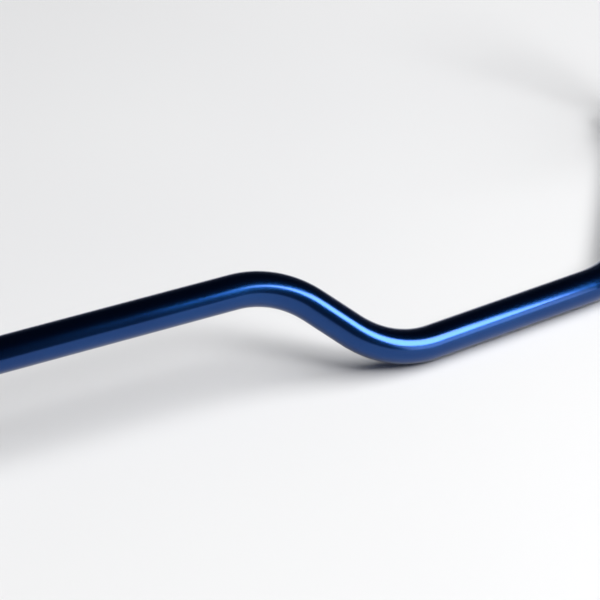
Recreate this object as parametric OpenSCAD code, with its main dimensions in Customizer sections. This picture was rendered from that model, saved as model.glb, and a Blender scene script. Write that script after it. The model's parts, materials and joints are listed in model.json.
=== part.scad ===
// Tubular sway bar with kicked ends, greased mount bushings, lock collars
// and adjustable rod-end links. It lies as it would on a table top.
// Units are millimetres. The origin is on the floor, under the middle of the
// whole part. The bar runs along X and its arms reach towards +Y.

/* [Bar tube] */
// Outside diameter of the tube
bar_d = 20; // [17:0.5:22]
// Wall of the tube
wall = 3; // [2:0.25:4]
// Bend radius at the centreline of the tube
bend_r = 60; // [52:1:66]
// Middle of the bar to the start of its first bend
mid_reach = 264; // [240:2:340]
// Sideways length of each kick, corner to corner
kick_run = 54.5; // [50:0.5:75]
// How far the middle run stands above the outer runs
kick_rise = 45.5; // [42:0.5:60]
// How far the outer runs stand in front of the middle run
kick_forward = 35.5; // [30:0.5:50]
// Outer run, corner to corner
outer_run = 164; // [130:1:240]
// Angle of the outer run, turned back from the line of the bar
outer_angle = 5; // [0:0.5:10]
// Arm tube, from its corner to its open end
arm_run = 145; // [110:1:220]
// Angle of the arm, turned back from the line of the bar
arm_angle = 53; // [40:1:70]

/* [Arm ends] */
// Thickness of the flat arm end
blade_t = 8; // [6:0.5:10]
// Height of the flat arm end
blade_h = 28; // [28:0.5:32]
// Arm tube end to the first hole
first_hole = 34; // [32:1:44]
// Spacing of the three adjustment holes
hole_pitch = 20; // [19.5:0.5:24]
// Length of the spigot inside the tube
spigot = 18; // [10:1:26]
// Height of the weld bead over the tube
weld_rise = 0.6; // [0.3:0.1:1.2]

/* [Mount brackets] */
// Middle of the bar to the middle of each bushing
bushing_x = 80; // [60:1:180]
// Outer radius of the bushing wall around the bar
bushing_wall = 10; // [8:0.5:12]
// Bar axis down to the mounting face
base_drop = 18; // [17:0.5:20]
// Width of the bracket strap
strap_w = 30; // [26:1:34]
// Thickness of the bracket strap
strap_t = 4; // [3:0.5:5]
// Distance between the two slots of a bracket
slot_spacing = 76; // [74:1:84]
// Length of each slot, end to end
slot_length = 14.5; // [12:0.5:16]

/* [Lock collars] */
// Width of a collar
collar_w = 12; // [11:0.5:14]
// Wall of a collar around the bar
collar_wall = 11; // [11:0.5:13]

/* [End links] */
// Bolt diameter of the links
bolt_d = 10; // [8:0.5:10]
// Diameter of the balls
ball_d = 19.05; // [18.5:0.05:19.3]
// Width of the balls
ball_w = 14; // [13:0.25:14.5]
// Ball centre to ball centre
link_len = 120; // [104:1:160]
// Ball centre to the near end of the threaded sleeve
grip_start = 30; // [28:0.5:32]
// Diameter of the threaded sleeve
sleeve_d = 18; // [16:0.5:20]
// Length of each cone spacer
spacer_len = 6; // [5:0.5:8]

/* [Fits] */
// Radial gap between bar and bushing
bushing_gap = 0.05; // [0.02:0.01:0.1]
// Gap between ball and race
race_gap = 0.05; // [0.02:0.01:0.1]
// Radial gap between bolt and ball
bolt_gap = 0.04; // [0.02:0.01:0.1]
// Side gap between collar and bushing
side_gap = 0.5; // [0.3:0.1:1]

/* [Hidden] */
$fn = 48;
bar_r = bar_d / 2;
bore_r = bar_r - wall;
lap = 1;
hair = 0.02;
bolt_r = bolt_d / 2;
hole_r = bolt_r + 0.25;
thread_r = bolt_r - 0.1;
shoulder_r = bolt_r + 1.4;
ball_r = ball_d / 2;
race_r = ball_r + 2;
ring_r = race_r + 2.4;
ring_w = ball_w - 3.5;
blade_mid = blade_h / 2 - bar_r;
weld_r = 4;
run_z = max(bar_r + weld_rise, ring_r - blade_mid);
middle_z = run_z + kick_rise;
flange_half = slot_spacing / 2 + slot_length / 2 + 5;
outer_dir = [cos(outer_angle), sin(outer_angle), 0];
arm_dir = [cos(arm_angle), sin(arm_angle), 0];
leg = [kick_run, -kick_forward, -kick_rise];
leg_dir = unit(leg);
turn_crest = acos(leg_dir[0]);
turn_foot = acos(leg_dir * outer_dir);
turn_elbow = arm_angle - outer_angle;
back_crest = bend_r * tan(turn_crest / 2);
back_foot = bend_r * tan(turn_foot / 2);
back_elbow = bend_r * tan(turn_elbow / 2);
last_hole = first_hole + 2 * hole_pitch;
foot_axis = unit(cross(leg_dir, outer_dir));
foot_centre = leg[1] + unit(outer_dir - leg_dir)[1] * bend_r / cos(turn_foot / 2);
foot_front = foot_centre - bend_r * sqrt(1 - foot_axis[1] * foot_axis[1]) - bar_r;
front = min(foot_front, -flange_half);
arm_tip = arm_run + last_hole + blade_h / 2;
back = leg[1] + outer_run * outer_dir[1] + arm_tip * arm_dir[1] + arm_dir[0] * blade_t / 2;
axis_y = -(front + back) / 2;
p_crest = [mid_reach + back_crest, axis_y, middle_z];
p_foot = p_crest + leg;
p_elbow = p_foot + outer_run * outer_dir;
p_end = p_elbow + arm_run * arm_dir;
into_crest = unit([0, -kick_forward, -kick_rise]);
into_foot = unit(outer_dir - leg_dir * (leg_dir * outer_dir));
into_elbow = unit(arm_dir - outer_dir * (outer_dir * arm_dir));
x_leg = into_crest * cos(turn_crest) - [1, 0, 0] * sin(turn_crest);
y_leg = cross([1, 0, 0], into_crest);
x_outer = into_foot * cos(turn_foot) - leg_dir * sin(turn_foot);
y_outer = cross(leg_dir, into_foot);
roll_foot = atan2(into_foot * y_leg, into_foot * x_leg);
roll_elbow = atan2(into_elbow * y_outer, into_elbow * x_outer);
leg_length = norm(leg) - back_crest - back_foot;
outer_length = outer_run - back_foot - back_elbow;
arm_length = arm_run - back_elbow;
bushing_r = bar_r + bushing_wall;
strap_r = bushing_r + strap_t;
bushing_half = strap_w / 2 + 0.5;
lip = 3;
lip_r = strap_r - 0.5;
slot_r = 5.25;
nipple_r = 3;
boss_top = strap_r + 1;
collar_r = bar_r + collar_wall;
collar_x = bushing_x - bushing_half - lip - side_gap - collar_w / 2;
screw_r = 2.5;
screw_z = bar_r + 5;
screw_seat = 8;
used_hole = first_hole + hole_pitch;
washer_t = 2;
washer_r = bolt_r + 5.5;
hex_flats = bolt_d * 1.6;
head_h = bolt_d * 0.64;
nut_h = bolt_d;
tip = 3;
link_x = blade_t / 2 + spacer_len + ball_w / 2;
stack = ball_w / 2 + spacer_len;
jam_h = 5.5;
sleeve_len = link_len - 2 * grip_start;
shank_end = grip_start + 18;
steel = [0.62, 0.63, 0.65];

// Sub-part to draw

// Path of the bar tube: each step draws one length heading +Z, then moves on

function unit(v) = v / norm(v);

module ring_face(thin) {
    difference() {
        circle(r = bar_r - thin);
        circle(r = bore_r + thin);
    }
}

// Straight length of tube, lapping into the bends at its ends
module ahead(length, tail) {
    translate([0, 0, -lap])
        linear_extrude(height = length + lap + tail)
            ring_face(0);
    translate([0, 0, length])
        children();
}

// Bent length of tube, rolled about the path and turning from +Z towards +X.
// Its wall is a hair thinner, as it is in a drawn bend, and ends inside the
// straights on either side.
module around(angle, roll) {
    rotate([0, 0, roll]) {
        translate([bend_r, 0, 0])
            rotate([90, 0, 180])
                rotate_extrude(angle = angle)
                    translate([bend_r, 0])
                        ring_face(hair);
        translate([bend_r * (1 - cos(angle)), 0, bend_r * sin(angle)])
            rotate([0, angle, 0])
                children();
    }
}

// Local frames: each moves its children from a simple frame to their place

// Origin at the open end of the arm tube, +Y out along the arm, +X outboard
module at_arm_end() {
    translate(p_end)
        rotate([0, 0, arm_angle - 90])
            children();
}

// Origin at the centre of the lower ball, X along its bolt, +Z up the link
module at_lower_ball() {
    at_arm_end()
        translate([link_x, used_hole, blade_mid])
            children();
}

// Origin at the centre of the upper ball
module at_upper_ball() {
    at_lower_ball()
        translate([0, 0, link_len])
            children();
}

// Origin on the bar axis at the middle of a bushing
module at_bushing() {
    translate([bushing_x, axis_y, middle_z])
        children();
}

module along_x() {
    rotate([0, 90, 0])
        children();
}

// Flat shape in Y and Z, pushed out to equal lengths either side of x = 0
module slab_x(w) {
    translate([-w / 2, 0, 0])
        rotate([90, 0, 90])
            linear_extrude(height = w)
                children();
}

// Bar tube

// From the end of the middle straight out to the open end of the arm
module side_run() {
    around(turn_crest, 0)
        ahead(leg_length, lap)
            around(turn_foot, roll_foot)
                ahead(outer_length, lap)
                    around(turn_elbow, roll_elbow)
                        ahead(arm_length, 0);
}

module bar_tube() {
    color([0.05, 0.16, 0.45])
        translate([0, axis_y, middle_z])
            rotate([-atan2(kick_forward, kick_rise), 0, 0]) {
                rotate([0, 90, 0])
                    translate([0, 0, -mid_reach])
                        ahead(mid_reach * 2, lap);
                for (m = [0, 1])
                    mirror([m, 0, 0])
                        rotate([0, 90, 0])
                            translate([0, 0, mid_reach])
                                side_run();
            }
}

// Forged flat arm end with three adjustment holes

module blade() {
    difference() {
        union() {
            rotate([90, 0, 0])
                cylinder(h = spigot, r = bore_r - 0.05);
            rotate([-90, 0, 0])
                cylinder(h = 8, r = bar_r);
            translate([0, 8, 0])
                rotate([-90, 0, 0])
                    cylinder(h = 14, r1 = bar_r, r2 = blade_t / 2);
            intersection() {
                slab_x(blade_t)
                    blade_outline();
                translate([-blade_t, 3, -blade_h])
                    cube([blade_t * 2, last_hole + blade_h, blade_h * 2]);
            }
        }
        for (i = [0:2])
            translate([-blade_t, first_hole + i * hole_pitch, blade_mid])
                along_x()
                    cylinder(h = blade_t * 2, r = hole_r);
    }
}

module blade_outline() {
    polygon([
        [2, -bar_r],
        [last_hole, -bar_r],
        [last_hole, blade_h - bar_r],
        [22, blade_h - bar_r],
        [8, bar_r],
        [2, bar_r]
    ]);
    translate([last_hole, blade_mid])
        circle(r = blade_h / 2);
}

module blade_right() {
    color([0.05, 0.16, 0.45])
        at_arm_end()
            blade();
}

module blade_left() {
    mirror([1, 0, 0])
        blade_right();
}

// Weld bead around the joint of tube and arm end

module weld_right() {
    color([0.05, 0.13, 0.36])
        at_arm_end()
            rotate([90, 0, 0])
                difference() {
                    rotate_extrude()
                        translate([bar_r + weld_rise - weld_r, 0])
                            circle(r = weld_r);
                    translate([0, 0, -weld_r - 1])
                        cylinder(h = weld_r * 2 + 2, r = bar_r);
                }
}

module weld_left() {
    mirror([1, 0, 0])
        weld_right();
}

// Two-piece lock collar, split front and rear, with two cap screws

module collar_ring() {
    along_x()
        rotate_extrude()
            polygon([
                [bar_r, -collar_w / 2],
                [collar_r - 1, -collar_w / 2],
                [collar_r, -collar_w / 2 + 1],
                [collar_r, collar_w / 2 - 1],
                [collar_r - 1, collar_w / 2],
                [bar_r, collar_w / 2]
            ]);
}

// The front half is counterbored for the screw heads, the rear half is tapped
module collar_half(in_front) {
    way = in_front ? -1 : 1;
    difference() {
        intersection() {
            collar_ring();
            translate([-collar_w, in_front ? -collar_r - 1 : 0.5, -collar_r - 1])
                cube([collar_w * 2, collar_r + 0.5, collar_r * 2 + 2]);
        }
        for (z = [-screw_z, screw_z])
            translate([0, 0, z])
                rotate([-90 * way, 0, 0]) {
                    cylinder(h = in_front ? 30 : 12, r = screw_r + (in_front ? 0.25 : 0.05));
                    if (in_front)
                        translate([0, 0, screw_seat])
                            cylinder(h = 20, r = 4.6);
                }
    }
}

module collar_screw() {
    rotate([90, 0, 0])
        difference() {
            union() {
                translate([0, 0, -10.5])
                    cylinder(h = screw_seat + 10.5, r = screw_r);
                translate([0, 0, screw_seat])
                    cylinder(h = 4.5, r = 4.25);
                translate([0, 0, screw_seat + 4.5])
                    cylinder(h = 0.5, r1 = 4.25, r2 = 3.75);
            }
            translate([0, 0, screw_seat + 2.5])
                cylinder(h = 5, r = 2.3, $fn = 6);
        }
}

module at_collar() {
    translate([collar_x, axis_y, middle_z])
        children();
}

module collar_front_right() {
    color([0.13, 0.13, 0.14])
        at_collar()
            collar_half(true);
}

module collar_front_left() {
    mirror([1, 0, 0])
        collar_front_right();
}

module collar_rear_right() {
    color([0.13, 0.13, 0.14])
        at_collar()
            collar_half(false);
}

module collar_rear_left() {
    mirror([1, 0, 0])
        collar_rear_right();
}

module collar_screws_right() {
    color([0.2, 0.2, 0.21])
        at_collar()
            for (z = [-screw_z, screw_z])
                translate([0, 0, z])
                    collar_screw();
}

module collar_screws_left() {
    mirror([1, 0, 0])
        collar_screws_right();
}

// Mount bushing: a flat-based block, lipped at both ends and slit at the base

module dee(r, drop) {
    intersection() {
        circle(r = r);
        translate([-r, -0.5])
            square([r * 2, r + 1]);
    }
    translate([-r, -drop])
        square([r * 2, drop]);
}

module lip_shape() {
    intersection() {
        circle(r = lip_r);
        translate([-lip_r, -base_drop])
            square([lip_r * 2, base_drop + lip_r]);
    }
    translate([-bushing_r, -base_drop])
        square([bushing_r * 2, base_drop]);
}

module bushing_right() {
    color([0.07, 0.07, 0.08])
        at_bushing()
            difference() {
                union() {
                    slab_x(bushing_half * 2)
                        dee(bushing_r, base_drop);
                    for (s = [-1, 1])
                        translate([s * (bushing_half + lip / 2), 0, 0])
                            slab_x(lip)
                                lip_shape();
                }
                translate([-40, 0, 0])
                    along_x()
                        cylinder(h = 80, r = bar_r + bushing_gap);
                for (s = [-1, 1])
                    translate([s * 9 - 1.5, 0, 0])
                        along_x()
                            cylinder(h = 3, r = bar_r + 1);
                translate([-40, -0.3, -base_drop - 1])
                    cube([80, 0.6, base_drop]);
                cylinder(h = 40, r = nipple_r + 0.05);
            }
}

module bushing_left() {
    mirror([1, 0, 0])
        bushing_right();
}

// Saddle bracket: a bent strap with two slotted feet and two raised ribs

module strap_outline() {
    difference() {
        union() {
            dee(strap_r, base_drop);
            translate([-flange_half, -base_drop])
                square([flange_half * 2, strap_t]);
            for (s = [-1, 1])
                translate([s * (strap_r + 2), strap_t - base_drop + 2])
                    difference() {
                        square(6, center = true);
                        translate([s * 3, 3])
                            circle(r = 5);
                    }
        }
        dee(bushing_r, base_drop + 1);
    }
}

module rib_outline() {
    difference() {
        dee(strap_r + 1.3, base_drop - strap_t - 1);
        dee(strap_r - 1, base_drop);
    }
}

module strap_plan() {
    square([strap_w - 16, flange_half * 2], center = true);
    square([strap_w, flange_half * 2 - 16], center = true);
    for (x = [-1, 1], y = [-1, 1])
        translate([x * (strap_w / 2 - 8), y * (flange_half - 8)])
            circle(r = 8);
}

module bracket_right() {
    color([0.66, 0.67, 0.69])
        at_bushing()
            difference() {
                union() {
                    intersection() {
                        slab_x(strap_w)
                            strap_outline();
                        translate([0, 0, -base_drop - 1])
                            linear_extrude(height = base_drop + strap_r + 2)
                                strap_plan();
                    }
                    for (x = [-10.5, 10.5])
                        translate([x, 0, 0])
                            slab_x(3.5)
                                rib_outline();
                    translate([0, 0, bushing_r + 1])
                        cylinder(h = boss_top - bushing_r - 1, r = 6.5);
                }
                cylinder(h = 60, r = nipple_r);
                for (s = [-1, 1])
                    translate([0, s * slot_spacing / 2, -base_drop - 1])
                        slot(strap_t + 2);
            }
}

module slot(h) {
    off = slot_length / 2 - slot_r;
    for (y = [-off, off])
        translate([0, y, 0])
            cylinder(h = h, r = slot_r);
    translate([-slot_r, -off, 0])
        cube([slot_r * 2, off * 2, h]);
}

module bracket_left() {
    mirror([1, 0, 0])
        bracket_right();
}

// Grease nipple screwed through the bracket into the bushing

module nipple_right() {
    color([0.75, 0.66, 0.42])
        at_bushing()
            difference() {
                union() {
                    translate([0, 0, bushing_r - 4])
                        cylinder(h = boss_top - bushing_r + 5, r = nipple_r);
                    translate([0, 0, boss_top])
                        cylinder(h = 4, r = 5.2, $fn = 6);
                    translate([0, 0, boss_top + 4])
                        rotate_extrude()
                            polygon([
                                [0, -0.5], [2.8, -0.5], [2.8, 1],
                                [1.9, 2.2], [1.9, 4], [2.9, 5.2],
                                [2.9, 6], [2, 7.4], [0, 7.4]
                            ]);
                }
                translate([0, 0, bushing_r - 5])
                    cylinder(h = 40, r = 0.8);
            }
}

module nipple_left() {
    mirror([1, 0, 0])
        nipple_right();
}

// Rod-end pieces, all drawn about the ball centre with the bolt along X

module hex(h, r) {
    cylinder(h = h, r = r, $fn = 6);
}

module ball() {
    along_x()
        rotate_extrude()
            intersection() {
                circle(r = ball_r);
                translate([bolt_r + bolt_gap, -ball_w / 2])
                    square([ball_r, ball_w]);
            }
}

module race() {
    along_x()
        rotate_extrude()
            difference() {
                translate([1, 0.1 - ring_w / 2])
                    square([race_r - 1, ring_w - 0.2]);
                circle(r = ball_r + race_gap);
            }
}

module rod_end() {
    difference() {
        union() {
            along_x()
                rotate_extrude()
                    polygon([
                        [race_r - 2, -ring_w / 2],
                        [ring_r - 1, -ring_w / 2],
                        [ring_r, -ring_w / 2 + 1],
                        [ring_r, ring_w / 2 - 1],
                        [ring_r - 1, ring_w / 2],
                        [race_r - 2, ring_w / 2]
                    ]);
            rotate_extrude()
                polygon([
                    [0, 8], [shoulder_r, 8], [shoulder_r, ring_r + 3],
                    [bolt_r, ring_r + 5.5],
                    [bolt_r, shank_end - 1],
                    [bolt_r - 1, shank_end],
                    [0, shank_end]
                ]);
        }
        translate([-20, 0, 0])
            along_x()
                cylinder(h = 40, r = race_r);
    }
}

module spacers() {
    for (s = [-1, 1])
        rotate([0, 0, s > 0 ? 0 : 180])
            translate([ball_w / 2, 0, 0])
                along_x()
                    difference() {
                        cylinder(h = spacer_len, r1 = shoulder_r, r2 = bolt_r + 4);
                        translate([0, 0, -1])
                            cylinder(h = spacer_len + 2, r = bolt_r + 0.1);
                    }
}

module washers() {
    for (x = [stack, -stack - blade_t - washer_t])
        translate([x, 0, 0])
            along_x()
                difference() {
                    cylinder(h = washer_t, r = washer_r);
                    translate([0, 0, -1])
                        cylinder(h = washer_t + 2, r = bolt_r + 0.3);
                }
}

// Shank under the head, a full-size grip length, then the threaded end
module bolt() {
    translate([-stack, 0, 0])
        along_x()
            cylinder(h = stack * 2 + washer_t, r = bolt_r - 0.02);
    translate([-stack - blade_t, 0, 0])
        along_x()
            cylinder(h = blade_t, r = bolt_r);
    translate([-stack - blade_t - washer_t - nut_h - tip, 0, 0])
        along_x() {
            cylinder(h = 1, r1 = thread_r - 1, r2 = thread_r);
            translate([0, 0, 1])
                cylinder(h = washer_t + nut_h + tip, r = thread_r);
        }
    translate([stack + washer_t, 0, 0])
        along_x()
            intersection() {
                hex(head_h, hex_flats / sqrt(3));
                cylinder(h = head_h, r1 = hex_flats * 0.66, r2 = hex_flats * 0.53);
            }
}

module nut() {
    translate([-stack - blade_t - washer_t, 0, 0])
        rotate([0, -90, 0])
            difference() {
                union() {
                    intersection() {
                        hex(nut_h * 0.75, hex_flats / sqrt(3));
                        cylinder(h = nut_h, r1 = hex_flats * 0.66, r2 = hex_flats * 0.52);
                    }
                    cylinder(h = nut_h, r = hex_flats * 0.45);
                }
                translate([0, 0, -1])
                    cylinder(h = nut_h + 2, r = thread_r + 0.02);
            }
}

module sleeve() {
    difference() {
        translate([0, 0, grip_start])
            rotate_extrude()
                polygon([
                    [0, 0], [sleeve_d / 2 - 1, 0], [sleeve_d / 2, 1],
                    [sleeve_d / 2, 5], [sleeve_d / 2 - 0.7, 5.6],
                    [sleeve_d / 2 - 0.7, 6.6], [sleeve_d / 2, 7.2],
                    [sleeve_d / 2, sleeve_len - 1],
                    [sleeve_d / 2 - 1, sleeve_len], [0, sleeve_len]
                ]);
        translate([0, 0, grip_start - 1])
            cylinder(h = sleeve_len + 2, r = bolt_r + 0.05);
        for (s = [-1, 1])
            translate([s * (sleeve_d / 2 + 3.5), 0, link_len / 2])
                cube([10, sleeve_d + 2, 14], center = true);
    }
}

module jam_nut() {
    difference() {
        intersection() {
            hex(jam_h, hex_flats / sqrt(3));
            cylinder(h = jam_h, r1 = hex_flats * 0.66, r2 = hex_flats * 0.53);
        }
        translate([0, 0, -1])
            cylinder(h = jam_h + 2, r = bolt_r + 0.05);
    }
}

// Turned over so a lower piece becomes the matching upper one
module turned_over() {
    rotate([180, 0, 0])
        children();
}

module lower_ball_right() {
    color(steel)
        at_lower_ball()
            ball();
}

module lower_ball_left() {
    mirror([1, 0, 0])
        lower_ball_right();
}

module lower_race_right() {
    color([0.72, 0.55, 0.3])
        at_lower_ball()
            race();
}

module lower_race_left() {
    mirror([1, 0, 0])
        lower_race_right();
}

module lower_rod_end_right() {
    color(steel)
        at_lower_ball()
            rod_end();
}

module lower_rod_end_left() {
    mirror([1, 0, 0])
        lower_rod_end_right();
}

module lower_spacers_right() {
    color(steel)
        at_lower_ball()
            spacers();
}

module lower_spacers_left() {
    mirror([1, 0, 0])
        lower_spacers_right();
}

module lower_washers_right() {
    color(steel)
        at_lower_ball()
            washers();
}

module lower_washers_left() {
    mirror([1, 0, 0])
        lower_washers_right();
}

module lower_bolt_right() {
    color(steel)
        at_lower_ball()
            bolt();
}

module lower_bolt_left() {
    mirror([1, 0, 0])
        lower_bolt_right();
}

module lower_nut_right() {
    color(steel)
        at_lower_ball()
            nut();
}

module lower_nut_left() {
    mirror([1, 0, 0])
        lower_nut_right();
}

module sleeve_right() {
    color([0.7, 0.71, 0.73])
        at_lower_ball()
            sleeve();
}

module sleeve_left() {
    mirror([1, 0, 0])
        sleeve_right();
}

module jam_nuts_right() {
    color(steel)
        at_lower_ball() {
            translate([0, 0, grip_start])
                turned_over()
                    jam_nut();
            translate([0, 0, link_len - grip_start])
                jam_nut();
        }
}

module jam_nuts_left() {
    mirror([1, 0, 0])
        jam_nuts_right();
}

module upper_ball_right() {
    color(steel)
        at_upper_ball()
            ball();
}

module upper_ball_left() {
    mirror([1, 0, 0])
        upper_ball_right();
}

module upper_race_right() {
    color([0.72, 0.55, 0.3])
        at_upper_ball()
            race();
}

module upper_race_left() {
    mirror([1, 0, 0])
        upper_race_right();
}

module upper_rod_end_right() {
    color(steel)
        at_upper_ball()
            turned_over()
                rod_end();
}

module upper_rod_end_left() {
    mirror([1, 0, 0])
        upper_rod_end_right();
}

module upper_spacers_right() {
    color(steel)
        at_upper_ball()
            spacers();
}

module upper_spacers_left() {
    mirror([1, 0, 0])
        upper_spacers_right();
}

module upper_washers_right() {
    color(steel)
        at_upper_ball()
            washers();
}

module upper_washers_left() {
    mirror([1, 0, 0])
        upper_washers_right();
}

module upper_bolt_right() {
    color(steel)
        at_upper_ball()
            bolt();
}

module upper_bolt_left() {
    mirror([1, 0, 0])
        upper_bolt_right();
}

module upper_nut_right() {
    color(steel)
        at_upper_ball()
            nut();
}

module upper_nut_left() {
    mirror([1, 0, 0])
        upper_nut_right();
}

bar_tube();
blade_right();
blade_left();
weld_right();
weld_left();
collar_front_right();
collar_front_left();
collar_rear_right();
collar_rear_left();
collar_screws_right();
collar_screws_left();
bushing_right();
bushing_left();
bracket_right();
bracket_left();
nipple_right();
nipple_left();
lower_ball_right();
lower_ball_left();
lower_race_right();
lower_race_left();
lower_rod_end_right();
lower_rod_end_left();
lower_spacers_right();
lower_spacers_left();
lower_washers_right();
lower_washers_left();
lower_bolt_right();
lower_bolt_left();
lower_nut_right();
lower_nut_left();
sleeve_right();
sleeve_left();
jam_nuts_right();
jam_nuts_left();
upper_ball_right();
upper_ball_left();
upper_race_right();
upper_race_left();
upper_rod_end_right();
upper_rod_end_left();
upper_spacers_right();
upper_spacers_left();
upper_washers_right();
upper_washers_left();
upper_bolt_right();
upper_bolt_left();
upper_nut_right();
upper_nut_left();
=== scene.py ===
import json
import math
import bpy
from mathutils import Matrix, Vector

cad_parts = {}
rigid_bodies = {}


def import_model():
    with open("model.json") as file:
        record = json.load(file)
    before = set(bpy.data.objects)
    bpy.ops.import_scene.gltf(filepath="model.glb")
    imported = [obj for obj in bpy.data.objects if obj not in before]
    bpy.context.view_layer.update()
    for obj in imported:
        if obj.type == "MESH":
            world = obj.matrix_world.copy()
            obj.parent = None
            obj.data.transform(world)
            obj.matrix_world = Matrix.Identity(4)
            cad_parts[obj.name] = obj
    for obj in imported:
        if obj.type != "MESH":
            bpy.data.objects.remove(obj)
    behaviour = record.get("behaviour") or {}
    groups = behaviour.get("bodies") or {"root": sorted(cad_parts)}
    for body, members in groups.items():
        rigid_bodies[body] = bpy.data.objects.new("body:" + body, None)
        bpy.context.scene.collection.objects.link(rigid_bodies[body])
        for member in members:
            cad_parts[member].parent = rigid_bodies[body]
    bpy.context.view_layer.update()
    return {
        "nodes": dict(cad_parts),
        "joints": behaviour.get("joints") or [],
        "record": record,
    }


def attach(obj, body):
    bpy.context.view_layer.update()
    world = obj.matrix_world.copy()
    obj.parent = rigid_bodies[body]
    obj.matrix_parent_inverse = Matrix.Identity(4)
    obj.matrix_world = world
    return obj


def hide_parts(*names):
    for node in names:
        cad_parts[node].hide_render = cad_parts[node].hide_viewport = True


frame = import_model()
joints = {joint["name"]: joint for joint in frame["joints"]}
mm = 0.001


def clearSelection():
    if bpy.context.object and bpy.context.object.mode != "OBJECT":
        bpy.ops.object.mode_set(mode="OBJECT")
    bpy.ops.object.select_all(action="DESELECT")


def pick(*objects):
    clearSelection()
    for obj in objects:
        obj.select_set(True)
    bpy.context.view_layer.objects.active = objects[0]


def editMode():
    bpy.ops.object.mode_set(mode="EDIT")


def objectMode():
    bpy.ops.object.mode_set(mode="OBJECT")


def hexColor(code):
    channels = [int(code[i:i + 2], 16) / 255 for i in (0, 2, 4)]
    linear = [c / 12.92 if c <= 0.04045 else ((c + 0.055) / 1.055) ** 2.4 for c in channels]
    return (*linear, 1.0)


def addNode(tree, kind, links=None, **settings):
    # names with a capital first letter are input sockets, stops are those of a colour ramp,
    # and the rest are node settings
    node = tree.nodes.new(kind)
    for name, value in settings.items():
        if name == "stops":
            for stop, (position, color) in zip(node.color_ramp.elements, value):
                stop.position = position
                stop.color = color
        elif name[0].isupper():
            node.inputs[name.replace("_", " ")].default_value = value
        else:
            setattr(node, name, value)
    for socket, source in (links or {}).items():
        tree.links.new(source, node.inputs[socket])
    return node


def newMaterial(name):
    material = bpy.data.materials.new(name)
    material.use_nodes = True
    tree = material.node_tree
    tree.nodes.clear()
    out = tree.nodes.new("ShaderNodeOutputMaterial")
    coords = tree.nodes.new("ShaderNodeTexCoord").outputs["Object"]
    return material, tree, out, coords


cameraSet = {
    "elevation": 32.0,   # degrees above the table
    "turn": 27.26,       # turned from straight ahead towards +X
    "distance": 1.3455,
    "lens": 144.0,       # on a 36 mm sensor
    "aim": (0.3066, -0.0559, 0.0374),
}


def addCamera():
    up = math.radians(cameraSet["elevation"])
    turn = math.radians(cameraSet["turn"])
    ahead = Vector((math.sin(turn) * math.cos(up), math.cos(turn) * math.cos(up), -math.sin(up)))
    place = Vector(cameraSet["aim"]) - ahead * cameraSet["distance"]
    bpy.ops.object.camera_add(location=place, rotation=(math.pi / 2 - up, 0, -turn))
    camera = bpy.context.object
    camera.name = "camera"
    camera.data.lens = cameraSet["lens"]
    camera.data.sensor_width = 36.0
    camera.data.clip_start = 0.01
    bpy.context.scene.camera = camera


addCamera()
print("camera placed")


studioSet = {
    "tableSize": 14.0,
    "keyFrom": (22.5, 42.0),     # azimuth from -Y towards +X, elevation
    "keyDistance": 2.6,
    "keySize": 0.9,
    "keyPower": 27.0,
    "boxFrom": (40.0, 31.0),     # near bright panel that makes the long highlight
    "boxDistance": 0.55,
    "boxSize": (0.24, 0.26),
    "boxPower": 2.7,
    "lowFrom": (38.0, 6.0),      # dimmer panel under it
    "lowDistance": 0.50,
    "lowSize": (0.26, 0.14),
    "lowPower": 0.35,
    "fillPlace": (1.25, -0.6, 2.6),
    "fillSize": 3.2,
    "fillPower": 101.0,
    "cloudWidth": 625 * mm,      # of the table's faint change of tone
    "horizon": (0.13, 0.132, 0.138, 1),
    "overhead": (0.02, 0.022, 0.026, 1),
}


def direction(azimuth, elevation):
    a, e = math.radians(azimuth), math.radians(elevation)
    return Vector((math.sin(a) * math.cos(e), -math.cos(a) * math.cos(e), math.sin(e)))


def addPanel(name, place, aim, size, power):
    turn = (aim - place).to_track_quat("-Z", "Y").to_euler()
    bpy.ops.object.light_add(type="AREA", location=place, rotation=turn)
    lamp = bpy.context.object
    lamp.name = name
    lamp.data.shape = "RECTANGLE"
    lamp.data.size, lamp.data.size_y = size
    lamp.data.energy = power
    lamp.visible_camera = False
    return lamp


def buildTableMaterial():
    # matt white laminate: an even off-white with only a faint cloudiness and almost no gloss
    material, tree, out, coords = newMaterial("mattLaminate")
    clouds = addNode(tree, "ShaderNodeTexNoise", {"Vector": coords},
                    Scale=1 / studioSet["cloudWidth"], Detail=2.0)
    tint = addNode(tree, "ShaderNodeValToRGB", {"Fac": clouds.outputs["Fac"]},
                   stops=((0.3, hexColor("e6e6e7")), (0.7, hexColor("ececec"))))
    shader = addNode(tree, "ShaderNodeBsdfPrincipled", {"Base Color": tint.outputs["Color"]},
                     Roughness=0.75, IOR=1.35)
    tree.links.new(shader.outputs["BSDF"], out.inputs["Surface"])
    return material


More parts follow.
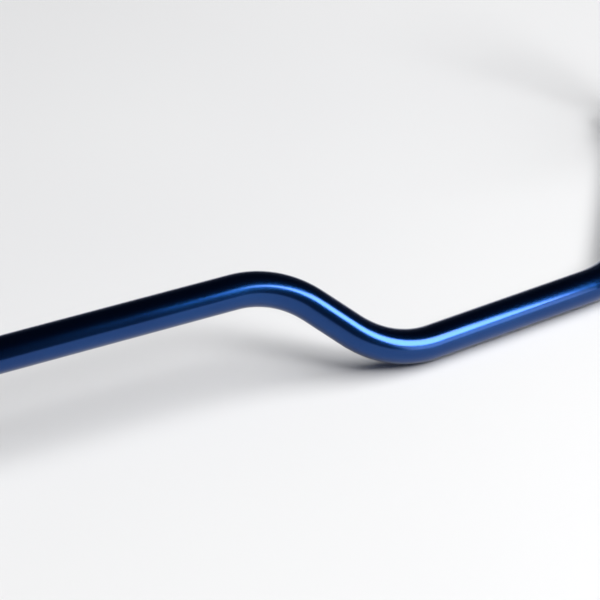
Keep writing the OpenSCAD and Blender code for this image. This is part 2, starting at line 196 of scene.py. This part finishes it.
def buildStudio():
    bpy.ops.mesh.primitive_plane_add(size=studioSet["tableSize"], location=(0, 0, 0))
    table = bpy.context.object
    table.name = "table"
    table.data.materials.append(buildTableMaterial())
    subject = Vector(cameraSet["aim"])
    keyPlace = subject + direction(*studioSet["keyFrom"]) * studioSet["keyDistance"]
    key = addPanel("key", keyPlace, subject, (studioSet["keySize"],) * 2, studioSet["keyPower"])
    key.visible_glossy = False
    for name in ("box", "low"):
        place = subject + direction(*studioSet[name + "From"]) * studioSet[name + "Distance"]
        panel = addPanel(name, place, subject, studioSet[name + "Size"], studioSet[name + "Power"])
        panel.visible_diffuse = False
    fill = addPanel("fill", Vector(studioSet["fillPlace"]), subject,
                    (studioSet["fillSize"],) * 2, studioSet["fillPower"])
    fill.visible_glossy = False
    world = bpy.data.worlds.new("studio")
    bpy.context.scene.world = world
    world.use_nodes = True
    tree = world.node_tree
    tree.nodes.clear()
    # dim room: darker overhead, grey near the horizon
    coords = addNode(tree, "ShaderNodeTexCoord")
    split = addNode(tree, "ShaderNodeSeparateXYZ", {"Vector": coords.outputs["Generated"]})
    ramp = addNode(tree, "ShaderNodeValToRGB", {"Fac": split.outputs["Z"]},
                   stops=((0.0, studioSet["horizon"]), (0.6, studioSet["overhead"])))
    sky = addNode(tree, "ShaderNodeBackground", {"Color": ramp.outputs["Color"]})
    out = addNode(tree, "ShaderNodeOutputWorld")
    tree.links.new(sky.outputs["Background"], out.inputs["Surface"])
    bpy.context.scene.view_settings.view_transform = "Standard"


buildStudio()
print("table and lights ready")


waveTurn = 0.314                 # a wave texture of scale 1 repeats over about this length
toneEdges = (0.32, 0.68)         # where the darker and the lighter tone of a finish are reached


def twoTones(low, high):
    return tuple(zip(toneEdges, (hexColor(low), hexColor(high))))


def buildBlueCoat(finish):
    # translucent blue powder coat baked over bright steel: deep in the shade and pale blue in
    # the light, under a clear skin with a fine orange peel, over a faint metallic fleck
    material, tree, out, coords = newMaterial(finish["name"])
    drift = addNode(tree, "ShaderNodeTexNoise", {"Vector": coords}, Scale=1 / (60 * mm), Detail=3.0)
    fleck = addNode(tree, "ShaderNodeTexVoronoi", {"Vector": coords}, Scale=1 / (0.8 * mm))
    lift = addNode(tree, "ShaderNodeMapRange", {"Value": fleck.outputs["Distance"]},
                   From_Max=0.6, To_Min=1.06, To_Max=0.95)
    tone = addNode(tree, "ShaderNodeValToRGB", {"Fac": drift.outputs["Fac"]},
                   stops=twoTones(finish["low"], finish["high"]))
    color = addNode(tree, "ShaderNodeHueSaturation",
                    {"Color": tone.outputs["Color"], "Value": lift.outputs["Result"]})
    rough = addNode(tree, "ShaderNodeMapRange", {"Value": drift.outputs["Fac"]},
                    To_Min=finish["roughness"][0], To_Max=finish["roughness"][1])
    peel = addNode(tree, "ShaderNodeTexNoise", {"Vector": coords}, Scale=1 / (2.2 * mm), Detail=1.0)
    bump = addNode(tree, "ShaderNodeBump", {"Height": peel.outputs["Fac"]},
                   Strength=0.12, Distance=finish["peelDepth"])
    shader = addNode(tree, "ShaderNodeBsdfPrincipled",
                     {"Base Color": color.outputs["Color"], "Roughness": rough.outputs["Result"],
                      "Normal": bump.outputs["Normal"], "Coat Normal": bump.outputs["Normal"]},
                     Metallic=1.0, Coat_Weight=finish["coat"], Coat_Roughness=0.12)
    tree.links.new(shader.outputs["BSDF"], out.inputs["Surface"])
    return material


def buildBlackAnodised():
    # turned aluminium, dyed black and sealed: satin, with fine lathe lines and faint grey rubs
    material, tree, out, coords = newMaterial("blackAnodised")
    rub = addNode(tree, "ShaderNodeTexNoise", {"Vector": coords}, Scale=1 / (9 * mm), Detail=6.0)
    rough = addNode(tree, "ShaderNodeMapRange", {"Value": rub.outputs["Fac"]},
                    To_Min=0.32, To_Max=0.46)
    # real tool marks are 0.2 mm apart, drawn 1.3 mm apart to show
    lathe = addNode(tree, "ShaderNodeTexWave", {"Vector": coords}, bands_direction="X",
                    Scale=waveTurn / (1.3 * mm), Distortion=0.3)
    bump = addNode(tree, "ShaderNodeBump", {"Height": lathe.outputs["Fac"]},
                   Strength=0.5, Distance=0.02 * mm)
    tone = addNode(tree, "ShaderNodeValToRGB", {"Fac": rub.outputs["Fac"]},
                   stops=twoTones("161618", "28282b"))
    shader = addNode(tree, "ShaderNodeBsdfPrincipled",
                     {"Base Color": tone.outputs["Color"],
                      "Roughness": rough.outputs["Result"], "Normal": bump.outputs["Normal"]},
                     Metallic=0.75)
    tree.links.new(shader.outputs["BSDF"], out.inputs["Surface"])
    return material


def buildBlackOxide():
    # oil-blacked steel screws: brown-black and a little patchy
    material, tree, out, coords = newMaterial("blackOxide")
    patch = addNode(tree, "ShaderNodeTexNoise", {"Vector": coords}, Scale=1 / (3 * mm), Detail=4.0)
    rough = addNode(tree, "ShaderNodeMapRange", {"Value": patch.outputs["Fac"]},
                    To_Min=0.30, To_Max=0.46)
    grit = addNode(tree, "ShaderNodeTexNoise", {"Vector": coords}, Scale=1 / (0.5 * mm), Detail=3.0)
    bump = addNode(tree, "ShaderNodeBump", {"Height": grit.outputs["Fac"]},
                   Strength=0.4, Distance=0.02 * mm)
    tone = addNode(tree, "ShaderNodeValToRGB", {"Fac": patch.outputs["Fac"]},
                   stops=twoTones("1b1a1a", "2e2b29"))
    shader = addNode(tree, "ShaderNodeBsdfPrincipled",
                     {"Base Color": tone.outputs["Color"],
                      "Roughness": rough.outputs["Result"], "Normal": bump.outputs["Normal"]},
                     Metallic=0.9)
    tree.links.new(shader.outputs["BSDF"], out.inputs["Surface"])
    return material


def buildPolyurethane():
    # cast polyurethane with graphite in it: dark grey, waxy, faintly mottled, no metal at all
    material, tree, out, coords = newMaterial("polyurethane")
    mottle = addNode(tree, "ShaderNodeTexNoise", {"Vector": coords}, Scale=1 / (6 * mm), Detail=5.0)
    rough = addNode(tree, "ShaderNodeMapRange", {"Value": mottle.outputs["Fac"]},
                    To_Min=0.42, To_Max=0.58)
    skin = addNode(tree, "ShaderNodeTexNoise", {"Vector": coords}, Scale=1 / (0.9 * mm), Detail=5.0)
    bump = addNode(tree, "ShaderNodeBump", {"Height": skin.outputs["Fac"]},
                   Strength=0.5, Distance=0.06 * mm)
    tone = addNode(tree, "ShaderNodeValToRGB", {"Fac": mottle.outputs["Fac"]},
                   stops=twoTones("1b1b1d", "2b2b2e"))
    shader = addNode(tree, "ShaderNodeBsdfPrincipled",
                     {"Base Color": tone.outputs["Color"],
                      "Roughness": rough.outputs["Result"], "Normal": bump.outputs["Normal"]},
                     IOR=1.49)
    tree.links.new(shader.outputs["BSDF"], out.inputs["Surface"])
    return material


def buildZincPlate():
    # bright zinc on pressed steel: cool silver with faint crystal patches about 3 mm across
    # over a soft rolled grain
    material, tree, out, coords = newMaterial("zincPlate")
    crystal = addNode(tree, "ShaderNodeTexVoronoi", {"Vector": coords}, Scale=1 / (3 * mm))
    rough = addNode(tree, "ShaderNodeMapRange", {"Value": crystal.outputs["Distance"]},
                    To_Min=0.26, To_Max=0.40)
    grain = addNode(tree, "ShaderNodeTexNoise", {"Vector": coords}, Scale=1 / (0.7 * mm), Detail=4.0)
    bump = addNode(tree, "ShaderNodeBump", {"Height": grain.outputs["Fac"]},
                   Strength=0.3, Distance=0.04 * mm)
    haze = addNode(tree, "ShaderNodeTexNoise", {"Vector": coords}, Scale=1 / (14 * mm), Detail=4.0)
    tone = addNode(tree, "ShaderNodeValToRGB", {"Fac": haze.outputs["Fac"]},
                   stops=twoTones("a6aab0", "c5c8cc"))
    shader = addNode(tree, "ShaderNodeBsdfPrincipled",
                     {"Base Color": tone.outputs["Color"],
                      "Roughness": rough.outputs["Result"], "Normal": bump.outputs["Normal"]},
                     Metallic=1.0)
    tree.links.new(shader.outputs["BSDF"], out.inputs["Surface"])
    return material


def buildHardwareMetal(finish):
    # bare or plated metal hardware, from a tumbled forging to a ground ball: each finish has
    # its own drift of tone, its own roughness and its own grit
    material, tree, out, coords = newMaterial(finish["name"])
    drift = addNode(tree, "ShaderNodeTexNoise", {"Vector": coords}, Scale=1 / finish["patch"],
                    Detail=4.0)
    rough = addNode(tree, "ShaderNodeMapRange", {"Value": drift.outputs["Fac"]},
                    To_Min=finish["roughness"][0], To_Max=finish["roughness"][1])
    grit = addNode(tree, "ShaderNodeTexNoise", {"Vector": coords}, Scale=1 / finish["grit"],
                   Detail=4.0)
    bump = addNode(tree, "ShaderNodeBump", {"Height": grit.outputs["Fac"]},
                   Strength=0.4, Distance=finish["depth"])
    tone = addNode(tree, "ShaderNodeValToRGB", {"Fac": drift.outputs["Fac"]},
                   stops=twoTones(finish["low"], finish["high"]))
    shader = addNode(tree, "ShaderNodeBsdfPrincipled",
                     {"Base Color": tone.outputs["Color"],
                      "Roughness": rough.outputs["Result"], "Normal": bump.outputs["Normal"]},
                     Metallic=1.0)
    tree.links.new(shader.outputs["BSDF"], out.inputs["Surface"])
    return material


def buildClearAnodised():
    # turned aluminium under clear anodising: pale, soft gloss, lathe lines round the sleeve
    material, tree, out, coords = newMaterial("clearAnodised")
    haze = addNode(tree, "ShaderNodeTexNoise", {"Vector": coords}, Scale=1 / (10 * mm), Detail=3.0)
    rough = addNode(tree, "ShaderNodeMapRange", {"Value": haze.outputs["Fac"]},
                    To_Min=0.27, To_Max=0.37)
    # real tool marks are 0.15 mm apart, drawn 1 mm apart to show
    lathe = addNode(tree, "ShaderNodeTexWave", {"Vector": coords}, bands_direction="Z",
                    Scale=waveTurn / (1.0 * mm), Distortion=0.4, Detail=2.0)
    bump = addNode(tree, "ShaderNodeBump", {"Height": lathe.outputs["Fac"]},
                   Strength=0.5, Distance=0.015 * mm)
    tone = addNode(tree, "ShaderNodeValToRGB", {"Fac": haze.outputs["Fac"]},
                   stops=twoTones("b7babd", "cfd1d4"))
    shader = addNode(tree, "ShaderNodeBsdfPrincipled",
                     {"Base Color": tone.outputs["Color"],
                      "Roughness": rough.outputs["Result"], "Normal": bump.outputs["Normal"]},
                     Metallic=1.0)
    tree.links.new(shader.outputs["BSDF"], out.inputs["Surface"])
    return material


def buildNylon():
    # moulded nylon ring of a lock nut: milky, faintly blue, waxy
    material, tree, out, coords = newMaterial("nylon")
    milk = addNode(tree, "ShaderNodeTexNoise", {"Vector": coords}, Scale=1 / (2 * mm), Detail=2.0)
    rough = addNode(tree, "ShaderNodeMapRange", {"Value": milk.outputs["Fac"]},
                    To_Min=0.38, To_Max=0.50)
    bump = addNode(tree, "ShaderNodeBump", {"Height": milk.outputs["Fac"]},
                   Strength=0.3, Distance=0.02 * mm)
    tone = addNode(tree, "ShaderNodeValToRGB", {"Fac": milk.outputs["Fac"]},
                   stops=twoTones("c9d3dc", "dde4ea"))
    shader = addNode(tree, "ShaderNodeBsdfPrincipled",
                     {"Base Color": tone.outputs["Color"],
                      "Roughness": rough.outputs["Result"], "Normal": bump.outputs["Normal"]},
                     IOR=1.53)
    tree.links.new(shader.outputs["BSDF"], out.inputs["Surface"])
    return material


blueCoat = {"name": "blueCoat", "low": "0e3670", "high": "11407c", "roughness": (0.21, 0.25),
            "coat": 0.40, "peelDepth": 0.02 * mm}
weldCoat = {"name": "weldCoat", "low": "0c3068", "high": "113c76", "roughness": (0.28, 0.36),
            "coat": 0.40, "peelDepth": 0.05 * mm}
hardwareMetals = {
    # yellow zinc on a brass nipple: pale gold drifting to olive
    "nipple_plate": {"name": "yellowZinc", "low": "a98a48", "high": "cdb878", "patch": 4 * mm,
                     "roughness": (0.22, 0.34), "grit": 0.4 * mm, "depth": 0.015 * mm},
    # ground ball under hard chrome: a near mirror with a breath of haze
    "ball_chrome": {"name": "ballChrome", "low": "d4d6d9", "high": "e4e6e8", "patch": 5 * mm,
                    "roughness": (0.05, 0.10), "grit": 0.6 * mm, "depth": 0.004 * mm},
    # machined bearing bronze: warm, satin from the tool
    "race_bronze": {"name": "raceBronze", "low": "8f6c3e", "high": "b08a55", "patch": 3 * mm,
                    "roughness": (0.32, 0.46), "grit": 0.5 * mm, "depth": 0.02 * mm},
    # forged, tumbled and zinc plated: soft grey with a gentle hammered unevenness
    "rod_end_steel": {"name": "platedForging", "low": "979a9e", "high": "b0b2b5", "patch": 7 * mm,
                      "roughness": (0.30, 0.44), "grit": 1.8 * mm, "depth": 0.09 * mm},
    # turned stainless steel: the brightest of the small pieces
    "spacer_steel": {"name": "turnedStainless", "low": "b0b1b3", "high": "cbccce", "patch": 4 * mm,
                     "roughness": (0.22, 0.32), "grit": 0.5 * mm, "depth": 0.012 * mm},
    # barrel-plated fasteners: bright zinc with the small dull knocks of tumbling
    "fastener_zinc": {"name": "brightZinc", "low": "adb0b5", "high": "c4c7cb", "patch": 6 * mm,
                      "roughness": (0.20, 0.36), "grit": 1.1 * mm, "depth": 0.03 * mm},
}
materials = {slot: buildHardwareMetal(finish) for slot, finish in hardwareMetals.items()}
materials["blue_coat"] = buildBlueCoat(blueCoat)
materials["weld_coat"] = buildBlueCoat(weldCoat)
materials["black_alloy"] = buildBlackAnodised()
materials["black_screw"] = buildBlackOxide()
materials["polyurethane"] = buildPolyurethane()
materials["zinc_plate"] = buildZincPlate()
materials["sleeve_alloy"] = buildClearAnodised()
nylon = buildNylon()
print(len(materials) + 1, "materials ready")


bodyOf = {node: body for body, nodes in frame["record"]["behaviour"]["bodies"].items()
          for node in nodes}
slotOf = {part["node"]: part["material_slot"] for part in frame["record"]["subparts"]}
sides = ("right", "left")
doublesWithin = 0.005 * mm


def settle(piece, node):
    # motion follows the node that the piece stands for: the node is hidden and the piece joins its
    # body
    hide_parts(node)
    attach(piece, bodyOf[node])


def recalculate(piece):
    pick(piece)
    editMode()
    bpy.ops.mesh.select_all(action="SELECT")
    bpy.ops.mesh.remove_doubles(threshold=doublesWithin)
    bpy.ops.mesh.normals_make_consistent(inside=False)
    objectMode()


def selectPoints(piece, wanted):
    # goes into edit mode with only the wanted points selected
    pick(piece)
    editMode()
    bpy.ops.mesh.select_mode(type="VERT")
    bpy.ops.mesh.select_all(action="DESELECT")
    objectMode()
    for point in piece.data.vertices:
        point.select = wanted(point.co)
    editMode()


def linkPlace(end, side):
    # from a frame with X along the bolt and Z up the link to the ball at that end
    joint = joints[{"lower": "link_swing_", "upper": "pin_spin_"}[end] + side]
    bolt = Vector(joint["axis"]).normalized()
    up = Vector((0, 0, 1))
    turn = Matrix((bolt, up.cross(bolt), up)).transposed().to_4x4()
    return Matrix.Translation(joint["pos_m"]) @ turn


barSet = {
    "radius": 0.010,
    "wall": 0.003,
    "bendRadius": 0.060,
    "midReach": 0.264,                      # middle of the bar to the first bend
    "kick": (0.0545, -0.0355, -0.0455),     # corner to corner
    "outerRun": 0.164,
    "outerAngle": 5.0,
    "armRun": 0.145,
    "armAngle": 53.0,
    "sides": 96,
    "bendStep": 2.5,                        # degrees between the rings of a bend
    "straightStep": 0.020,
    "merge": 0.01 * mm,
    "smooth": math.radians(40),
}


def barRoute():
    # corner points of the right half, from the middle of the bar to the end of the arm
    joint = joints["mount_turn_right"]["pos_m"]
    kick = Vector(barSet["kick"])
    outerAngle, armAngle = math.radians(barSet["outerAngle"]), math.radians(barSet["armAngle"])
    outer = Vector((math.cos(outerAngle), math.sin(outerAngle), 0))
    arm = Vector((math.cos(armAngle), math.sin(armAngle), 0))
    back = barSet["bendRadius"] * math.tan(kick.angle((1, 0, 0)) / 2)
    start = Vector((0, joint[1], joint[2]))
    crest = start + Vector((barSet["midReach"] + back, 0, 0))
    foot = crest + kick
    elbow = foot + outer * barSet["outerRun"]
    return [start, crest, foot, elbow, elbow + arm * barSet["armRun"]]


def extrudeAlong(way, length):
    steps = max(1, round(length / barSet["straightStep"]))
    for i in range(steps):
        bpy.ops.mesh.extrude_region_move(TRANSFORM_OT_translate={"value": way * (length / steps)})


def spinRound(centre, axis, angle):
    # the spin operator turns against its axis
    steps = round(math.degrees(angle) / barSet["bendStep"])
    bpy.ops.mesh.spin(steps=steps, angle=angle, center=centre, axis=-axis)


def buildBar():
    route = barRoute()
    clearSelection()
    bpy.ops.mesh.primitive_circle_add(vertices=barSet["sides"], radius=barSet["radius"],
                                      location=route[0], rotation=(0, math.pi / 2, 0))
    bar = bpy.context.object
    bar.name = "barTube"
    bpy.ops.object.transform_apply()
    editMode()
    bpy.ops.mesh.select_all(action="SELECT")
    here = route[0]
    for i in range(1, len(route) - 1):
        way = (route[i] - route[i - 1]).normalized()
        onward = (route[i + 1] - route[i]).normalized()
        angle = way.angle(onward)
        start = route[i] - way * barSet["bendRadius"] * math.tan(angle / 2)
        inward = (onward - way * way.dot(onward)).normalized()
        extrudeAlong(way, (start - here).length)
        spinRound(start + inward * barSet["bendRadius"], way.cross(onward).normalized(), angle)
        here = route[i] + onward * barSet["bendRadius"] * math.tan(angle / 2)
    extrudeAlong(onward, (route[-1] - here).length)
    bpy.ops.mesh.select_all(action="SELECT")
    bpy.ops.mesh.remove_doubles(threshold=barSet["merge"])
    objectMode()
    mirror = bar.modifiers.new("otherHalf", "MIRROR")
    mirror.merge_threshold = barSet["merge"]
    bpy.ops.object.modifier_apply(modifier="otherHalf")
    editMode()
    bpy.ops.mesh.select_all(action="SELECT")
    bpy.ops.mesh.normals_make_consistent(inside=False)
    objectMode()
    wall = bar.modifiers.new("wall", "SOLIDIFY")
    wall.thickness = barSet["wall"]
    wall.offset = -1
    bpy.ops.object.modifier_apply(modifier="wall")
    bpy.ops.object.shade_smooth_by_angle(angle=barSet["smooth"])
    bar.data.materials.append(materials["blue_coat"])
    settle(bar, "bar_tube")
    print("bar ready,", len(bar.data.polygons), "faces")


buildBar()


weldSet = {
    "ripples": 40,
    "stepsPerRipple": 4,
    "halfWidth": 2.1 * mm,
    "halfHeight": 0.9 * mm,
    "rise": 0.6 * mm,            # crest over the tube
    "valley": 0.22 * mm,
    "bow": 3,                    # how many steps each ripple lags at its two edges
    "sides": 24,
}


def buildWelds():
    route = barRoute()
    centre = route[-1]
    arm = (route[-1] - route[-2]).normalized()
    up = Vector((0, 0, 1))
    across = arm.cross(up)
    steps = weldSet["ripples"] * weldSet["stepsPerRipple"]
    stand = barSet["radius"] + weldSet["rise"] - weldSet["halfHeight"]
    clearSelection()
    bpy.ops.mesh.primitive_circle_add(
        vertices=weldSet["sides"], radius=1.0, location=centre + up * stand,
        rotation=Matrix((arm, up, across)).transposed().to_euler())
    weld = bpy.context.object
    weld.name = "weldRight"
    weld.scale = (weldSet["halfWidth"], weldSet["halfHeight"], 1)
    bpy.ops.object.transform_apply()
    editMode()
    bpy.ops.mesh.select_all(action="SELECT")
    bpy.ops.mesh.spin(steps=steps, angle=2 * math.pi, center=centre, axis=arm)
    objectMode()
    recalculate(weld)

    def inValley(point):
        out = point - centre
        turn = math.atan2(out.dot(across), out.dot(up)) / (2 * math.pi) * steps
        lag = weldSet["bow"] * (out.dot(arm) / weldSet["halfWidth"]) ** 2
        return round(turn + lag) % weldSet["stepsPerRipple"] == 0

    selectPoints(weld, inValley)
    bpy.ops.transform.shrink_fatten(value=-weldSet["valley"])
    objectMode()
    bpy.ops.object.shade_smooth()
    weld.data.materials.append(materials["weld_coat"])
    pick(weld)
    bpy.ops.object.duplicate()
    other = bpy.context.object
    other.name = "weldLeft"
    other.scale = (-1, 1, 1)
    bpy.ops.object.transform_apply()
    recalculate(other)
    settle(weld, "weld_right")
    settle(other, "weld_left")
    print("weld beads ready")


threadSet = {
    "pitch": 1.5 * mm,
    "steps": 32,
    "halfWidth": 0.74 * mm,      # of the ridge, along the thread
    "depth": 1.1 * mm,           # from the crest to the hidden heel of the ridge
    "rodStart": 20.0 * mm,       # from the ball centre
    "rodEnd": 46.0 * mm,
    "rodCrest": 4.98 * mm,
    "boltStart": 24.5 * mm,      # from the ball centre to under the nut
    "boltEnd": 35.4 * mm,
    "boltCrest": 4.88 * mm,
    "core": 0.84,                # thread root over thread crest
    "rodNeck": 19.0 * mm,        # from here on the shank is cut down to the root
    "rodRadius": 5.3 * mm,
    "boltTip": 30.0 * mm,
}


def buildRidge(place, crest, start, end):
    # one helical ridge round the local Z axis, closed at both ends
    clearSelection()
    bpy.ops.mesh.primitive_circle_add(
        vertices=4, radius=1.0, location=(crest - threadSet["depth"], 0, start),
        rotation=(math.pi / 2, 0, 0))
    ridge = bpy.context.object
    ridge.scale = (threadSet["depth"], threadSet["halfWidth"], 1)
    bpy.ops.object.transform_apply()
    helix = ridge.modifiers.new("helix", "SCREW")
    helix.screw_offset = threadSet["pitch"]
    helix.iterations = int((end - start) / threadSet["pitch"])
    helix.steps = threadSet["steps"]
    helix.render_steps = threadSet["steps"]
    helix.use_merge_vertices = False
    bpy.ops.object.modifier_apply(modifier="helix")
    editMode()
    bpy.ops.mesh.select_all(action="SELECT")
    bpy.ops.mesh.fill_holes(sides=4)
    objectMode()
    recalculate(ridge)
    ridge.matrix_world = place
    bpy.ops.object.transform_apply()
    return ridge


insertSet = {
    "ring": 5.6 * mm,            # middle of the nylon, from the bolt axis
    "halfWidth": 0.62 * mm,
    "proud": 0.25 * mm,
    "nutEnd": 33.0 * mm,         # from the ball centre
    "steps": 48,
    "sides": 12,
}


def buildInsert(place):
    clearSelection()
    bpy.ops.mesh.primitive_torus_add(
        major_segments=insertSet["steps"], minor_segments=insertSet["sides"],
        major_radius=insertSet["ring"], minor_radius=insertSet["halfWidth"])
    ring = bpy.context.object
    ring.scale = (1, 1, insertSet["proud"] / insertSet["halfWidth"])
    bpy.ops.object.transform_apply()
    ring.location = (0, 0, insertSet["nutEnd"])
    bpy.ops.object.transform_apply()
    ring.matrix_world = place
    bpy.ops.object.transform_apply()
    ring.data.materials.append(nylon)
    return ring


edgeSet = {
    "segments": 2,
    "sharpFrom": math.radians(32),
    "flatBelow": math.radians(0.5),
    "merge": 0.002 * mm,
}
softEdges = {                    # width in mm of each shape's broken edges
    "blade": 0.7,
    "collar_front": 0.35,
    "collar_rear": 0.35,
    "collar_screws": 0.2,
    "bushing": 0.5,
    "bracket": 0.7,
    "nipple": 0.15,
    "lower_rod_end": 0.4,
    "upper_rod_end": 0.4,
    "lower_spacers": 0.2,
    "upper_spacers": 0.2,
    "lower_washers": 0.25,
    "upper_washers": 0.25,
    "lower_bolt": 0.2,
    "upper_bolt": 0.2,
    "lower_nut": 0.25,
    "upper_nut": 0.25,
    "sleeve": 0.3,
    "jam_nuts": 0.25,
}
overturn = Matrix.Rotation(math.pi, 4, "X")          # a lower rod end becomes an upper one
alongBolt = Matrix.Rotation(-math.pi / 2, 4, "Y")    # local Z out through the nut


def copyNode(node):
    pick(frame["nodes"][node])
    bpy.ops.object.duplicate()
    piece = bpy.context.object
    bpy.ops.object.parent_clear(type="CLEAR")
    for key in list(piece.keys()):
        del piece[key]
    words = node.split("_")
    piece.name = words[0] + "".join(word.capitalize() for word in words[1:])
    piece.data.materials.clear()
    piece.data.materials.append(materials[slotOf[node]])
    bpy.ops.mesh.customdata_custom_splitnormals_clear()
    editMode()
    bpy.ops.mesh.select_all(action="SELECT")
    bpy.ops.mesh.remove_doubles(threshold=edgeSet["merge"])
    bpy.ops.mesh.dissolve_limited(angle_limit=edgeSet["flatBelow"])
    objectMode()
    return piece


def breakEdges(piece, width):
    pick(piece)
    bevel = piece.modifiers.new("edges", "BEVEL")
    bevel.width = width * mm
    bevel.segments = edgeSet["segments"]
    bevel.limit_method = "ANGLE"
    bevel.angle_limit = edgeSet["sharpFrom"]
    bpy.ops.object.modifier_apply(modifier="edges")
    bpy.ops.object.shade_smooth_by_angle(angle=edgeSet["sharpFrom"])
    flats = piece.modifiers.new("flats", "WEIGHTED_NORMAL")
    flats.keep_sharp = True
    bpy.ops.object.modifier_apply(modifier="flats")


def thinRodShank(piece, place):
    ball = place.translation
    lengthwise = place.to_3x3() @ Vector((0, 0, 1))

    def onShank(point):
        out = point - ball
        along = out.dot(lengthwise)
        beside = (out - lengthwise * along).length
        return along > threadSet["rodNeck"] and beside < threadSet["rodRadius"]

    selectPoints(piece, onShank)
    core = threadSet["core"]
    bpy.ops.transform.resize(value=(core, core, 1), center_override=ball)
    objectMode()


def thinBoltTip(piece, place):
    lengthwise = place.to_3x3() @ Vector((0, 0, 1))
    end = place.translation + lengthwise * threadSet["boltEnd"]
    limit = threadSet["boltTip"]
    selectPoints(piece, lambda point: (point - place.translation).dot(lengthwise) > limit)
    bpy.ops.transform.resize(value=(threadSet["core"],) * 3, center_override=end)
    objectMode()


def joinPieces(piece, *extras):
    pick(piece, *extras)
    bpy.ops.object.join()


def buildKeptShapes():
    for base, width in softEdges.items():
        for side in sides:
            node = base + "_" + side
            piece = copyNode(node)
            end = base.split("_")[0]
            if base.endswith("rod_end"):
                place = linkPlace(end, side)
                if end == "upper":
                    place = place @ overturn
                thinRodShank(piece, place)
                breakEdges(piece, width)
                joinPieces(piece, buildRidge(place, threadSet["rodCrest"], threadSet["rodStart"],
                                             threadSet["rodEnd"]))
            elif base.endswith("bolt"):
                place = linkPlace(end, side) @ alongBolt
                thinBoltTip(piece, place)
                breakEdges(piece, width)
                joinPieces(piece, buildRidge(place, threadSet["boltCrest"], threadSet["boltStart"],
                                             threadSet["boltEnd"]))
            elif base.endswith("_nut"):
                breakEdges(piece, width)
                joinPieces(piece, buildInsert(linkPlace(end, side) @ alongBolt))
            else:
                breakEdges(piece, width)
            settle(piece, node)
    print("kept shapes softened and threaded")


def finishBearings():
    # balls and races keep their exact round shapes and only get their finish
    for end in ("lower", "upper"):
        for side in sides:
            for base in ("ball", "race"):
                node = end + "_" + base + "_" + side
                frame["nodes"][node].material_slots[0].material = materials[slotOf[node]]


buildWelds()
buildKeptShapes()
finishBearings()
